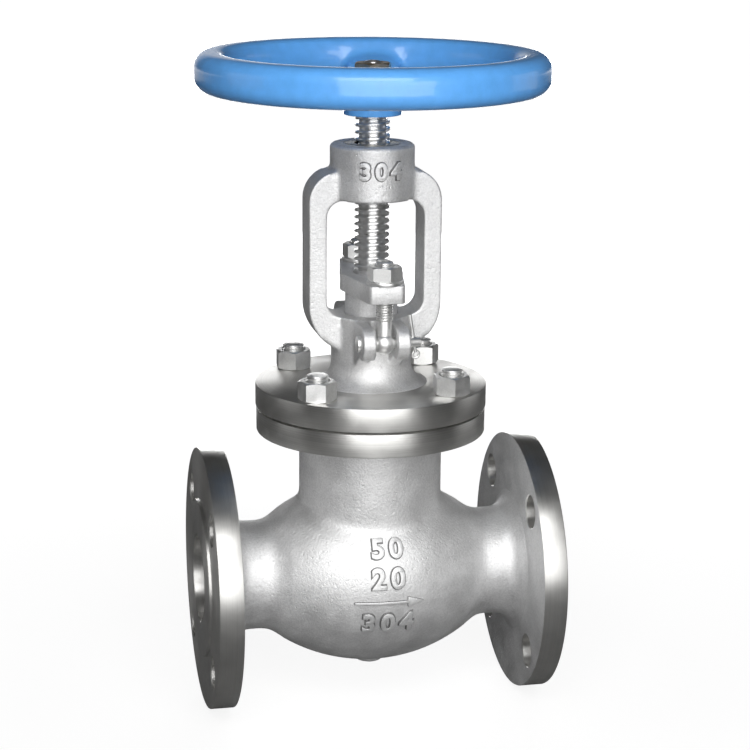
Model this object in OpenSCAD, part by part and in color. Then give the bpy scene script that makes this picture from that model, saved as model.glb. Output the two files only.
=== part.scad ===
// Flanged globe valve with an outside screw and yoke, rising and turning stem.
// Sizes are in millimetres. X runs along the flow, Z up the stem.
// The origin is the centre of the inlet raised face.

/* [Pipe ends] */
// Distance between the two raised faces
face_to_face = 203; // [200:1:212]
// Outside diameter of the end flanges
end_flange_d = 152; // [148:1:158]
// Thickness of an end flange with its raised face
end_flange_t = 16; // [15:0.5:18]
// Diameter of the raised face
raised_face_d = 92; // [88:1:96]
// Height of the raised face
raised_face_h = 2; // [1:0.5:3]
// Bore of the ports
port_d = 51; // [48:1:53]
// Pitch circle of the end bolt holes
end_bolt_pcd = 120.7; // [118:0.1:123]
// Diameter of the end bolt holes
end_bolt_hole_d = 19; // [16:0.5:20]

/* [Body] */
// Wall of the port necks
port_wall = 6.2; // [5.5:0.1:7]
// Radius of the globe across the stem axis
globe_r = 54; // [52:0.5:57]
// Radius of the globe arc seen from the side
globe_arc_r = 97.5; // [92:0.5:104]
// Wall of the globe
globe_wall = 7; // [6:0.5:8]
// Outside diameter of the body neck
body_neck_d = 82.8; // [80:0.2:88]
// Wall of the body neck
body_neck_wall = 7.4; // [7:0.1:8]
// Height of the body flange underside above the pipe axis
body_flange_z = 86; // [84:0.5:92]
// Thickness of the wall that carries the seat
bridge_t = 8; // [7:0.5:9]
// Fillet behind an end flange
flange_fillet = 8; // [5:0.5:10]
// Diameter of the drain boss
boss_d = 16; // [14:0.5:18]
// Height of the drain boss below the globe
boss_h = 2; // [1.5:0.5:3]

/* [Bonnet joint] */
// Outside diameter of the bonnet flange
bonnet_flange_d = 133.4; // [131:0.2:138]
// Thickness of the bonnet flange and of the body flange
bonnet_flange_t = 13.5; // [13:0.5:16]
// Thickness of the bonnet gasket
gasket_t = 1.2; // [1:0.1:2]
// Pitch circle of the bonnet studs
stud_pcd = 109; // [108:0.5:110]
// Diameter of the bonnet studs
stud_d = 12.7; // [11:0.1:13]
// Width across flats of the bonnet nuts
stud_nut_af = 19; // [18:0.5:20]
// Height of the bonnet nuts
stud_nut_h = 11.1; // [10:0.1:13]

/* [Yoke] */
// Diameter of the bonnet neck
neck_d = 46; // [45:0.5:48]
// Height of the neck above the bonnet flange
neck_h = 40.3; // [39:0.1:44]
// Width over the yoke arms
yoke_w = 76.4; // [74:0.2:82]
// Width of the yoke window
window_w = 56; // [54:0.5:58]
// Height of the yoke window
window_h = 66.5; // [64:0.5:72]
// Depth of the yoke arms
arm_depth = 23; // [20:0.5:26]
// Diameter of the yoke hub
yoke_hub_d = 48; // [46:0.5:52]
// Height of the yoke hub
yoke_hub_h = 31; // [28:0.5:34]
// Outside diameter of the stem nut
stem_nut_d = 31; // [29:0.5:33]

/* [Gland] */
// Thickness of the gland flange
gland_t = 10; // [9:0.5:12]
// Half width of the gland flange at the stem
gland_mid_r = 18; // [17:0.5:20]
// Half width of the gland flange at its ends
gland_end_w = 10.5; // [9.5:0.5:11]
// Distance of the gland bolts from the stem axis
gland_bolt_y = 35.5; // [34.5:0.1:37]
// Diameter of the gland bolts
gland_bolt_d = 10; // [9:0.5:10.5]
// Width across flats of the gland nuts
gland_nut_af = 17; // [16:0.5:18]
// Outside diameter of the gland follower
follower_d = 30; // [29:0.5:31]
// Diameter of the hinge pins
pin_d = 6; // [5:0.5:6.5]

/* [Stem and wheel] */
// Major diameter of the stem thread
stem_d = 20; // [19:0.5:20.5]
// Lead of the stem thread
stem_lead = 4; // [3.5:0.5:4]
// Travel of the disc from closed to open
stem_lift = 16; // [13:0.5:16]
// Outside diameter of the handwheel
wheel_d = 200; // [180:1:220]
// Radial width of the handwheel rim
rim_w = 20; // [17:0.5:23]
// Height of the handwheel rim
rim_h = 22; // [20:0.5:24]
// Diameter of the handwheel hub
wheel_hub_d = 33; // [31:0.5:37]
// Direction of the first spoke
spoke_angle = 78; // [0:1:120]

/* [Trim] */
// Bore of the seat ring
seat_d = 46; // [43:0.5:48]
// Diameter of the disc
disc_d = 56; // [54:0.5:58]

/* [Hidden] */
$fn = 64;
// Running gap between parts that move on each other
run_gap = 0.3;
// Gap between parts that are only located
loose_gap = 0.4;
// Small overlap for cuts
eps = 0.5;
half = face_to_face / 2;
flange_back = half - end_flange_t;
chamber_end = flange_back - 19;
bridge_end = flange_back - 19.5;
bridge_in = 33;
bridge_out = 38;
port_r = port_d / 2;
port_neck_r = port_r + port_wall;
// The bore is left as cast behind the turned flanges
cast_port_r = port_r + 0.6;
globe_c = globe_r - globe_arc_r;
body_bore_r = body_neck_d / 2 - body_neck_wall;
z_body_top = body_flange_z + bonnet_flange_t;
z_bonnet = z_body_top + gasket_t;
z_bonnet_top = z_bonnet + bonnet_flange_t;
z_deck = z_bonnet_top + neck_h;
z_hub0 = z_deck + window_h;
z_hub1 = z_hub0 + yoke_hub_h;
spigot_h = 6.7;
backseat_w = 6;
backseat_h = 10;
spigot_r = body_bore_r - loose_gap;
z_spigot = z_bonnet - spigot_h;
stud_r = stud_d / 2;
stud_ring_r = stud_pcd / 2;
stud_depth = bonnet_flange_t - 2;
stud_over = 3.5;
box_r = follower_d / 2 + 0.2;
z_box = z_bonnet_top + 4;
packing_washer_t = 2;
packing_n = 5;
packing_t = 5;
packing_gap = 0.1;
z_packing = z_box + packing_washer_t;
z_follower = z_packing + packing_n * packing_t;
z_gland = z_deck + 13.5;
lip_w = 2.5;
lip_h = 3;
z_gland_top = z_gland + gland_t;
washer_t = 2;
gland_nut_h = 8.4;
z_gland_nut = z_gland_top + washer_t;
gland_end_y = gland_bolt_y + 8;
bolt_r = gland_bolt_d / 2;
lug_r = 9.6;
lug_in = 6.1;
lug_t = 7.5;
pin_z = z_deck - 10.3;
pin_r = pin_d / 2;
eye_r = 6.4;
eye_half = 4.1;
shank_h = 13.3;
bolt_over = 2.8;
cotter_x = lug_in + lug_t + 3.4;
cotter_tilt = 9;
stem_r = stem_d / 2;
root_r = stem_r - stem_lead / 2 - 0.25;
crest_w = 0.366 * stem_lead;
flank_w = (stem_r - root_r) * tan(15);
steps = 24;
z_thread = z_gland_top + 2;
wheel_gap = stem_lift;
z_wheel = z_hub1 + 16;
turns = floor((z_wheel - 2.4 - z_thread) / stem_lead) - 1;
z_thread_top = z_thread + (turns + 1) * stem_lead + 0.4;
square_w = 14;
wheel_hub_h = 20;
spoke_z = 12;
spoke_in = 8;
spoke_end = 6;
spoke_t = 9;
spoke_w = 22;
z_wheel_top = z_wheel + wheel_hub_h;
wheel_washer_t = 2;
wheel_nut_h = 7;
wheel_stud_r = 5;
z_wheel_nut = z_wheel_top + wheel_washer_t;
z_stem_end = z_wheel_nut + wheel_nut_h + 1.2;
rim_z = z_wheel + 24;
rim_r = wheel_d / 2 - rim_w / 2;
seat_r = seat_d / 2;
seat_hole_r = seat_r + 4.5;
seat_top = bridge_t / 2 + 4;
disc_r = disc_d / 2;
disc_gap = 0.2;
z_disc = seat_top + disc_gap;
disc_t = 10;
disc_hub_r = 19;
disc_hub_h = 16;
z_pocket = z_disc + 8;
z_disc_top = z_disc + disc_t + disc_hub_h;
head_r = stem_r + 2.5;
head_t = 8;
pocket_r = head_r + 0.5;
z_head = z_pocket + run_gap;
thrust_t = 1.2;
z_thrust = z_head + head_t + run_gap;
z_disc_nut = z_thrust + thrust_t;
disc_nut_r = head_r + 2.5;
disc_nut_af = 32;
disc_nut_h = 7;
cut_h = 60;
rim_corner = 8;
collar_r = stem_r + 4;
z_collar = z_spigot - stem_lift - run_gap;

// A revolved shape whose axis is the pipe axis
module about_x() { rotate([0, 90, 0]) rotate_extrude() children(); }

// Hexagonal prism given by its width across flats
module hex(af, h) { cylinder(d = af / cos(30), h = h, $fn = 6); }

// Ring with a square section
module ring(ro, ri, h) {
    difference() {
        cylinder(r = ro, h = h);
        translate([0, 0, -eps]) cylinder(r = ri, h = h + 2 * eps);
    }
}

// Rectangle with round corners, from its low corner
module rounded(w, h, r) {
    translate([r, 0]) square([w - 2 * r, h]);
    translate([0, r]) square([w, h - 2 * r]);
    for (x = [r, w - r], y = [r, h - r]) translate([x, y]) circle(r = r);
}

// Threaded rod with plain ends: a closed helical surface from z0 over n turns
module thread(z0, n, rc, rr, cw, fw, lead) {
    L = n * steps;
    function crest(k) = rr + (rc - rr) * min(1, k / 6, (L - k) / 6);
    function at(r, k, z) = [r * cos(360 * k / steps), r * sin(360 * k / steps), z];
    function zk(k) = z0 + 0.2 + lead * k / steps;
    rows = [for (k = [0:L]) each [at(rr, k, zk(k)), at(crest(k), k, zk(k) + fw),
        at(crest(k), k, zk(k) + fw + cw), at(rr, k, zk(k) + 2 * fw + cw)]];
    low = 4 * (L + 1);
    high = low + steps;
    lower = [for (i = [0:steps - 1]) at(rr, i, z0)];
    upper = [for (i = [0:steps - 1]) at(rr, L + i, z0 + lead * (n + 1) + 0.4)];
    flanks = [for (k = [0:L - 1], j = [0:2]) each [
        [4 * k + j, 4 * k + j + 1, 4 * k + j + 5], [4 * k + j, 4 * k + j + 5, 4 * k + j + 4]]];
    roots = [for (k = [0:L - steps - 1]) each [
        [4 * k + 3, 4 * (k + steps), 4 * (k + steps + 1)], [4 * k + 3, 4 * (k + steps + 1), 4 * k + 7]]];
    foot = [for (i = [0:steps - 2]) each [
        [low + i, 4 * i, 4 * (i + 1)], [low + i, 4 * (i + 1), low + i + 1]]];
    f = 4 * (steps - 1);
    foot_seam = [[f, 4 * steps, 3], [f, 3, 2], [f, 2, 1], [f, 1, 0], [f, 0, low], [f, low, low + steps - 1]];
    m = L - steps;
    head = [for (i = [1:steps - 1]) each [[4 * (m + i) + 3, high + i, high + (i + 1) % steps],
        [4 * (m + i) + 3, high + (i + 1) % steps, 4 * (m + i) + 7]]];
    h = 4 * m + 7;
    head_seam = [[h, 4 * m + 3, 4 * L], [h, 4 * L, 4 * L + 1], [h, 4 * L + 1, 4 * L + 2],
        [h, 4 * L + 2, 4 * L + 3], [h, 4 * L + 3, high], [h, high, high + 1]];
    caps = [[for (i = [0:steps - 1]) low + i], [for (i = [steps - 1:-1:0]) high + i]];
    polyhedron(points = concat(rows, lower, upper),
        faces = concat(flanks, roots, foot, foot_seam, head, head_seam, caps), convexity = 10);
}

// Outline of the body shell about the pipe axis
module shell_profile() {
    translate([0, -flange_back]) square([port_neck_r, 2 * flange_back]);
    intersection() {
        translate([globe_c, 0]) circle(r = globe_arc_r, $fn = 128);
        translate([0, -flange_back + 4]) square([globe_r + 1, 2 * (flange_back - 4)]);
    }
    for (s = [0, 1]) mirror([0, s]) difference() {
        translate([0, flange_back - flange_fillet])
            square([port_neck_r + 0.62 * flange_fillet, flange_fillet]);
        translate([port_neck_r + flange_fillet, flange_back - flange_fillet]) circle(r = flange_fillet);
    }
}

// Chamber inside the globe
module chamber_profile() {
    intersection() {
        translate([globe_c, 0]) circle(r = globe_arc_r - globe_wall, $fn = 128);
        translate([0, -chamber_end]) square([globe_r, 2 * chamber_end]);
    }
}

// Sloping wall that parts the inlet from the outlet
module bridge() {
    b = bridge_t / 2;
    top = port_r + 8;
    rotate([90, 0, 0]) translate([0, 0, -globe_r]) linear_extrude(height = 2 * globe_r)
        polygon([[-bridge_end, top], [9 - bridge_end, top], [-bridge_in, b], [bridge_out, b],
            [bridge_end, 7 - top], [bridge_end, -top], [bridge_end - 9, -top], [bridge_in, -b],
            [-bridge_out, -b], [-bridge_end, top - 7]]);
}

module valve_body() {
    color("Silver") translate([half, 0, 0]) difference() {
        union() {
            about_x() shell_profile();
            cylinder(r = body_neck_d / 2, h = globe_r);
            translate([0, 0, -globe_r - boss_h]) cylinder(d = boss_d, h = 12);
        }
        difference() {
            union() {
                about_x() chamber_profile();
                translate([0, 0, 2]) cylinder(r = body_bore_r, h = z_body_top);
                rotate([0, 90, 0]) translate([0, 0, -half - 1])
                    cylinder(r = cast_port_r, h = face_to_face + 2);
            }
            bridge();
        }
        translate([0, 0, -bridge_t]) cylinder(r = seat_hole_r, h = 2 * bridge_t);
    }
}

// Plate at the inlet end, with its raised face and bolt holes
module end_flange() {
    color("Gainsboro") difference() {
        about_x() difference() {
            union() {
                translate([0, raised_face_h - half]) square([end_flange_d / 2, end_flange_t - raised_face_h]);
                translate([0, -half]) square([raised_face_d / 2, end_flange_t]);
            }
            translate([0, -half - 1]) square([port_r, end_flange_t + 2]);
        }
        for (a = [45:90:315]) rotate([a, 0, 0]) translate([-half - 1, end_bolt_pcd / 2, 0])
            rotate([0, 90, 0]) cylinder(d = end_bolt_hole_d, h = end_flange_t + 2);
    }
}

module inlet_end_flange() { translate([half, 0, 0]) end_flange(); }

module outlet_end_flange() { translate([half, 0, 0]) rotate([0, 0, 180]) end_flange(); }

// Round neck between the globe and its top flange
module body_neck() {
    color("Silver") translate([half, 0, globe_r]) ring(body_neck_d / 2, body_bore_r, body_flange_z - globe_r);
}

// Plate at the top of the body, tapped for the studs
module body_top_flange() {
    color("Gainsboro") translate([half, 0, body_flange_z]) difference() {
        ring((bonnet_flange_d - 1) / 2, body_bore_r, bonnet_flange_t);
        for (a = [45:90:315]) rotate([0, 0, a]) translate([stud_ring_r, 0, bonnet_flange_t - stud_depth])
            cylinder(r = stud_r, h = stud_depth + 1);
    }
}

module seat_ring() {
    color("Gainsboro") translate([half, 0, -bridge_t / 2]) difference() {
        union() {
            cylinder(r = seat_hole_r, h = seat_top + bridge_t / 2);
            translate([0, 0, bridge_t]) cylinder(r = seat_hole_r + 2.5, h = seat_top - bridge_t / 2);
        }
        translate([0, 0, -eps]) cylinder(r = seat_r, h = 40);
    }
}

module bonnet_gasket() {
    color("DimGray") translate([half, 0, z_body_top]) ring(stud_ring_r - 7.5, body_bore_r + 1, gasket_t);
}

// Flat frame of the yoke, in the plane of the pipe axis
module yoke_plate() {
    w = yoke_w / 2;
    rt = 18;
    rb = 28;
    zt = z_hub0 - 1;
    zb = z_deck + 6.5;
    difference() {
        union() {
            translate([-w, zb]) square([yoke_w, zt - zb]);
            for (s = [-1, 1]) {
                translate([s * (w - rt), zt]) circle(r = rt);
                translate([s * (w - rb), zb]) circle(r = rb);
            }
            translate([-w + rt, zt - 1]) square([yoke_w - 2 * rt, rt + 1]);
            translate([-w + rb, zb - rb]) square([yoke_w - 2 * rb, rb + 1]);
        }
        translate([-window_w / 2, z_deck]) rounded(window_w, window_h, 9.5);
    }
}

// Pair of ears that hold one eye bolt, on the side away from +Y
module lugs() {
    for (s = [-1, 1]) translate([s * (lug_in + lug_t / 2), 0, 0]) rotate([90, 0, 90])
        translate([0, 0, -lug_t / 2]) linear_extrude(height = lug_t) difference() {
            union() {
                translate([-gland_bolt_y, pin_z]) circle(r = lug_r);
                polygon([[-gland_bolt_y + 1, pin_z + lug_r - 0.1], [-14, z_deck - 1], [-14, pin_z - 20],
                    [-gland_bolt_y + 4, pin_z - lug_r + 1]]);
            }
            translate([-gland_bolt_y, pin_z]) circle(r = pin_r);
        }
}

module bonnet() {
    flare = 12;
    nr = neck_d / 2;
    color("LightGray") translate([half, 0, 0]) difference() {
        union() {
            translate([0, 0, z_bonnet]) cylinder(d = bonnet_flange_d, h = bonnet_flange_t);
            translate([0, 0, z_spigot]) cylinder(r = spigot_r, h = spigot_h + 1);
            translate([0, 0, z_bonnet_top - 1]) cylinder(r = nr, h = neck_h + 1);
            rotate_extrude() difference() {
                translate([0, z_bonnet_top - 1]) square([nr + flare, flare + 1]);
                translate([nr + flare, z_bonnet_top + flare]) circle(r = flare);
            }
            translate([0, arm_depth / 2, 0]) rotate([90, 0, 0])
                linear_extrude(height = arm_depth) yoke_plate();
            translate([0, 0, z_hub0]) cylinder(d = yoke_hub_d, h = yoke_hub_h - 1.5);
            translate([0, 0, z_hub1 - 1.5]) cylinder(d1 = yoke_hub_d, d2 = yoke_hub_d - 3, h = 1.5);
            lugs();
            rotate([0, 0, 180]) lugs();
        }
        translate([0, 0, z_box]) cylinder(r = box_r, h = neck_h + 10);
        translate([0, 0, z_spigot - 1]) cylinder(r = stem_r + loose_gap, h = neck_h);
        translate([0, 0, z_spigot - 1]) cylinder(r = stem_r + backseat_w, h = backseat_h + 1);
        translate([0, 0, z_hub0 - 5]) cylinder(d = stem_nut_d, h = yoke_hub_h + 10);
        for (a = [45:90:315]) rotate([0, 0, a]) translate([stud_ring_r, 0, z_bonnet - 1])
            cylinder(r = stud_r + loose_gap, h = bonnet_flange_t + 2);
    }
}

module backseat_bush() {
    color("Goldenrod") translate([half, 0, z_spigot])
        ring(stem_r + backseat_w, stem_r + loose_gap, backseat_h);
}

module bonnet_studs() {
    h = stud_depth + gasket_t + bonnet_flange_t + stud_nut_h + stud_over;
    color("Silver") for (a = [45:90:315]) translate([half, 0, 0]) rotate([0, 0, a])
        translate([stud_ring_r, 0, z_body_top - stud_depth]) {
            cylinder(r = stud_r, h = h - 1);
            translate([0, 0, h - 1]) cylinder(r1 = stud_r, r2 = stud_r - 1, h = 1);
        }
}

module bonnet_nuts() {
    color("Silver") for (a = [45:90:315]) translate([half, 0, 0]) rotate([0, 0, a])
        translate([stud_ring_r, 0, z_bonnet_top]) rotate([0, 0, a == 225 ? 0 : 12]) difference() {
            hex(stud_nut_af, stud_nut_h);
            translate([0, 0, -eps]) cylinder(r = stud_r, h = stud_nut_h + 2 * eps);
        }
}

module packing_washer() {
    color("Silver") translate([half, 0, z_box]) ring(box_r, stem_r + loose_gap, packing_washer_t);
}

module packing_rings() {
    color("DimGray") for (i = [0:packing_n - 1]) translate([half, 0, z_packing + i * packing_t])
        ring(box_r, stem_r + run_gap, packing_t - packing_gap);
}

module gland_follower() {
    color("LightGray") translate([half, 0, 0]) difference() {
        union() {
            translate([0, 0, z_follower]) cylinder(d = follower_d, h = z_gland - z_follower);
            translate([0, 0, z_gland - 1]) cylinder(r = stem_r + lip_w, h = lip_h + 1);
        }
        translate([0, 0, z_follower - eps]) cylinder(r = stem_r + loose_gap, h = cut_h);
    }
}

module gland_flange() {
    c = 3;
    e = gland_end_y;
    color("LightGray") translate([half, 0, z_gland]) difference() {
        linear_extrude(height = gland_t) {
            circle(r = gland_mid_r);
            polygon([[-gland_end_w, c - e], [gland_end_w, c - e], [gland_mid_r - 0.3, 0],
                [gland_end_w, e - c], [-gland_end_w, e - c], [0.3 - gland_mid_r, 0]]);
            for (s = [-1, 1]) {
                for (t = [-1, 1]) translate([s * (gland_end_w - c), t * (e - c)]) circle(r = c);
                translate([c - gland_end_w, s * (e - c) - c]) square([2 * (gland_end_w - c), 2 * c]);
            }
        }
        translate([0, 0, -eps]) cylinder(r = stem_r + lip_w, h = lip_h + eps);
        translate([0, 0, -eps]) cylinder(r = stem_r + 0.6, h = gland_t + 2 * eps);
        for (s = [-1, 1]) translate([0, s * gland_bolt_y, -eps])
            cylinder(r = bolt_r + loose_gap, h = gland_t + 2 * eps);
    }
}

// Hinged bolt in front of the stem
module eye_bolt() {
    z_end = z_gland_nut + gland_nut_h + bolt_over;
    color("Silver") difference() {
        union() {
            translate([0, -gland_bolt_y, pin_z]) intersection() {
                sphere(r = eye_r);
                translate([-eye_half, -eye_r, -eye_r]) cube([2 * eye_half, 2 * eye_r, 2 * eye_r]);
            }
            translate([0, -gland_bolt_y, pin_z + 2]) cylinder(r = bolt_r - 0.6, h = shank_h);
            translate([0, -gland_bolt_y, pin_z + shank_h])
                cylinder(r = bolt_r, h = z_end - 1 - pin_z - shank_h);
            translate([0, -gland_bolt_y, z_end - 1]) cylinder(r1 = bolt_r, r2 = bolt_r - 1, h = 1);
        }
        translate([-20, -gland_bolt_y, pin_z]) rotate([0, 90, 0]) cylinder(r = pin_r, h = 40);
    }
}

module eye_bolt_front() { translate([half, 0, 0]) eye_bolt(); }

module eye_bolt_rear() { translate([half, 0, 0]) rotate([0, 0, 180]) eye_bolt(); }

// Headed pin through the ears, drilled for its cotter
module hinge_pin() {
    x0 = -lug_in - lug_t;
    color("Silver") translate([0, -gland_bolt_y, pin_z]) difference() {
        union() {
            translate([x0, 0, 0]) rotate([0, 90, 0]) cylinder(r = pin_r, h = cotter_x + 3.6 - x0);
            translate([x0 - 2, 0, 0]) rotate([0, 90, 0]) cylinder(r = pin_r + 1.6, h = 2);
        }
        translate([cotter_x, 0, 0]) rotate([0, -cotter_tilt, 0]) cylinder(r = 1.1, h = 20, center = true);
    }
}

module hinge_pin_front() { translate([half, 0, 0]) hinge_pin(); }

module hinge_pin_rear() { translate([half, 2 * gland_bolt_y, 0]) hinge_pin(); }

// Split pin: a straight shank with a loop below
module cotter() {
    color("Silver") translate([cotter_x, -gland_bolt_y, pin_z]) rotate([0, -cotter_tilt, 0]) {
        translate([0, 0, -6]) cylinder(r = 1.1, h = 22);
        translate([0, 0, -7.2]) rotate([90, 0, 0]) rotate_extrude() translate([1.9, 0]) circle(r = 0.8);
    }
}

module cotter_front() { translate([half, 0, 0]) cotter(); }

module cotter_rear() { translate([half, 2 * gland_bolt_y, 0]) cotter(); }

module gland_washers() {
    color("Silver") for (s = [-1, 1]) translate([half, s * gland_bolt_y, z_gland_top])
        ring(bolt_r * 2, bolt_r + loose_gap, washer_t);
}

module gland_nuts() {
    color("Silver") for (s = [-1, 1]) translate([half, s * gland_bolt_y, z_gland_nut]) rotate([0, 0, 38])
        difference() {
            hex(gland_nut_af, gland_nut_h);
            translate([0, 0, -eps]) cylinder(r = bolt_r, h = gland_nut_h + 2 * eps);
        }
}

module stem_nut() {
    k = floor((z_hub0 - z_thread) / stem_lead) - 2;
    n = ceil(yoke_hub_h / stem_lead) + 4;
    color("Goldenrod") translate([half, 0, 0]) difference() {
        translate([0, 0, z_hub0]) cylinder(d = stem_nut_d, h = yoke_hub_h);
        thread(z_thread + k * stem_lead - 0.15, n, stem_r + 0.35, root_r + 0.4, crest_w + 0.3, flank_w,
            stem_lead);
    }
}

module stem() {
    color("Silver") translate([half, 0, 0]) {
        translate([0, 0, z_head]) cylinder(r = head_r, h = head_t);
        translate([0, 0, z_head]) cylinder(r = stem_r, h = z_thread - z_head);
        translate([0, 0, z_collar - 7]) cylinder(r = collar_r, h = 5);
        translate([0, 0, z_collar - 2]) cylinder(r1 = collar_r, r2 = collar_r - 2, h = 2);
        thread(z_thread, turns, stem_r, root_r, crest_w, flank_w, stem_lead);
        translate([0, 0, z_thread_top]) cylinder(r = stem_r, h = z_wheel - z_thread_top);
        translate([-square_w / 2, -square_w / 2, z_wheel]) cube([square_w, square_w, wheel_hub_h]);
        translate([0, 0, z_wheel_top]) cylinder(r = wheel_stud_r, h = z_stem_end - z_wheel_top - 1);
        translate([0, 0, z_stem_end - 1]) cylinder(r1 = wheel_stud_r, r2 = wheel_stud_r - 1, h = 1);
    }
}

module disc() {
    color("Gainsboro") translate([half, 0, 0]) difference() {
        union() {
            translate([0, 0, z_disc]) cylinder(r = disc_r, h = disc_t);
            translate([0, 0, z_disc]) cylinder(r = disc_hub_r, h = disc_t + disc_hub_h);
        }
        translate([0, 0, z_pocket]) cylinder(r = pocket_r, h = cut_h);
        translate([0, 0, z_disc_nut]) cylinder(r = disc_nut_r, h = cut_h);
    }
}

module disc_thrust_ring() {
    color("Goldenrod") translate([half, 0, z_thrust]) ring(pocket_r, stem_r + loose_gap, thrust_t);
}

module disc_nut() {
    color("Silver") translate([half, 0, 0]) difference() {
        union() {
            translate([0, 0, z_disc_nut]) cylinder(r = disc_nut_r, h = z_disc_top - z_disc_nut + 1);
            translate([0, 0, z_disc_top]) hex(disc_nut_af, disc_nut_h);
        }
        translate([0, 0, z_disc_nut - eps]) cylinder(r = stem_r + loose_gap, h = cut_h);
    }
}

module handwheel() {
    rise = rim_z - 3 - (z_wheel + spoke_z);
    run = rim_r - spoke_end;
    color("DodgerBlue") translate([half, 0, 0]) difference() {
        union() {
            translate([0, 0, z_wheel]) cylinder(d = wheel_hub_d, h = wheel_hub_h);
            translate([0, 0, rim_z]) rotate_extrude()
                translate([rim_r - rim_w / 2, -rim_h / 2]) rounded(rim_w, rim_h, rim_corner);
            for (i = [0:2]) rotate([0, 0, spoke_angle + 120 * i]) translate([spoke_in, 0, z_wheel + spoke_z])
                rotate([0, 90 - atan2(rise, run), 0]) linear_extrude(height = run)
                    translate([-spoke_t / 2, -spoke_w / 2]) rounded(spoke_t, spoke_w, spoke_t / 2 - 0.1);
        }
        translate([-square_w / 2, -square_w / 2, z_wheel - 1]) cube([square_w, square_w, wheel_hub_h + 2]);
        translate([0, 0, z_wheel_top]) cylinder(d = wheel_hub_d + 2, h = 30);
    }
}

module wheel_washer() {
    color("Silver") translate([half, 0, z_wheel_top]) ring(12, wheel_stud_r + 0.3, wheel_washer_t);
}

module wheel_nut() {
    color("Goldenrod") translate([half, 0, z_wheel_nut]) rotate([0, 0, 10]) difference() {
        hex(19, wheel_nut_h);
        translate([0, 0, -eps]) cylinder(r = wheel_stud_r, h = wheel_nut_h + 2 * eps);
    }
}

valve_body();
inlet_end_flange();
outlet_end_flange();
body_neck();
body_top_flange();
seat_ring();
bonnet_gasket();
bonnet();
backseat_bush();
bonnet_studs();
bonnet_nuts();
packing_washer();
packing_rings();
gland_follower();
gland_flange();
eye_bolt_front();
eye_bolt_rear();
hinge_pin_front();
hinge_pin_rear();
cotter_front();
cotter_rear();
gland_washers();
gland_nuts();
stem_nut();
stem();
disc();
disc_thrust_ring();
disc_nut();
handwheel();
wheel_washer();
wheel_nut();
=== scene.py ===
"""Flanged globe valve with an outside screw and yoke, dressed over its CAD frame."""
import math

import bmesh
import bpy
from mathutils import Matrix, Vector


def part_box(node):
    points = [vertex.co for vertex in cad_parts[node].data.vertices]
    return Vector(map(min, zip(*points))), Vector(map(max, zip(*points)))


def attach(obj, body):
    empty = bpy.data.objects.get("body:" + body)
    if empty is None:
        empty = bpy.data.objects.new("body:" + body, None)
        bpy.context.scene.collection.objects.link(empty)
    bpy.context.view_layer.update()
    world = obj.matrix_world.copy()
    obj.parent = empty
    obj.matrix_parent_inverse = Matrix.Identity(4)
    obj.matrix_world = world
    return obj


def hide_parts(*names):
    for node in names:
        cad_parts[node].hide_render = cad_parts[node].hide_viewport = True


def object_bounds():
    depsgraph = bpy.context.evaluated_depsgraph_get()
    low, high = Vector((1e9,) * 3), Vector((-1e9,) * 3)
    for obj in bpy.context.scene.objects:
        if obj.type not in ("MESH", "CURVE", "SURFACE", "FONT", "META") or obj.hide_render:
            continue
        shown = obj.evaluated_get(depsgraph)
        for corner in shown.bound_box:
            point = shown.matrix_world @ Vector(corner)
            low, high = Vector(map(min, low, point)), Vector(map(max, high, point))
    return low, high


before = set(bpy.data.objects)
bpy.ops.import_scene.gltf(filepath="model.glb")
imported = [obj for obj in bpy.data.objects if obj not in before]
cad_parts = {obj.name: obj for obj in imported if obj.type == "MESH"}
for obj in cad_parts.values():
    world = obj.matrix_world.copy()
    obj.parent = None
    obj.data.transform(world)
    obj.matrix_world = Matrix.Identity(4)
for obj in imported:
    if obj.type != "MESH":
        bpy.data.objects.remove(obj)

bl_info = {
    "name": "Globe valve",
    "version": (1, 0, 0),
    "blender": (4, 5, 0),
    "location": "View3D > Sidebar > Valve",
    "description": "Builds the casting, bolting, gland, stem and handwheel of a flanged globe valve",
    "category": "Add Mesh",
}

MM = 0.001
MERGE = 1e-6
QUARTERS = (45, 135, 225, 315)
X_AXIS = Vector((1, 0, 0))
Z_AXIS = Vector((0, 0, 1))
CAD_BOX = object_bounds()
STEM_X = (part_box("stem")[0][0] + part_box("stem")[1][0]) / 2
FOOT = Vector((STEM_X, 0, 0))


def low(node, axis):
    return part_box(node)[0][axis]


def high(node, axis):
    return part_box(node)[1][axis]


# Sizes and colours that a user would change

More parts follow.
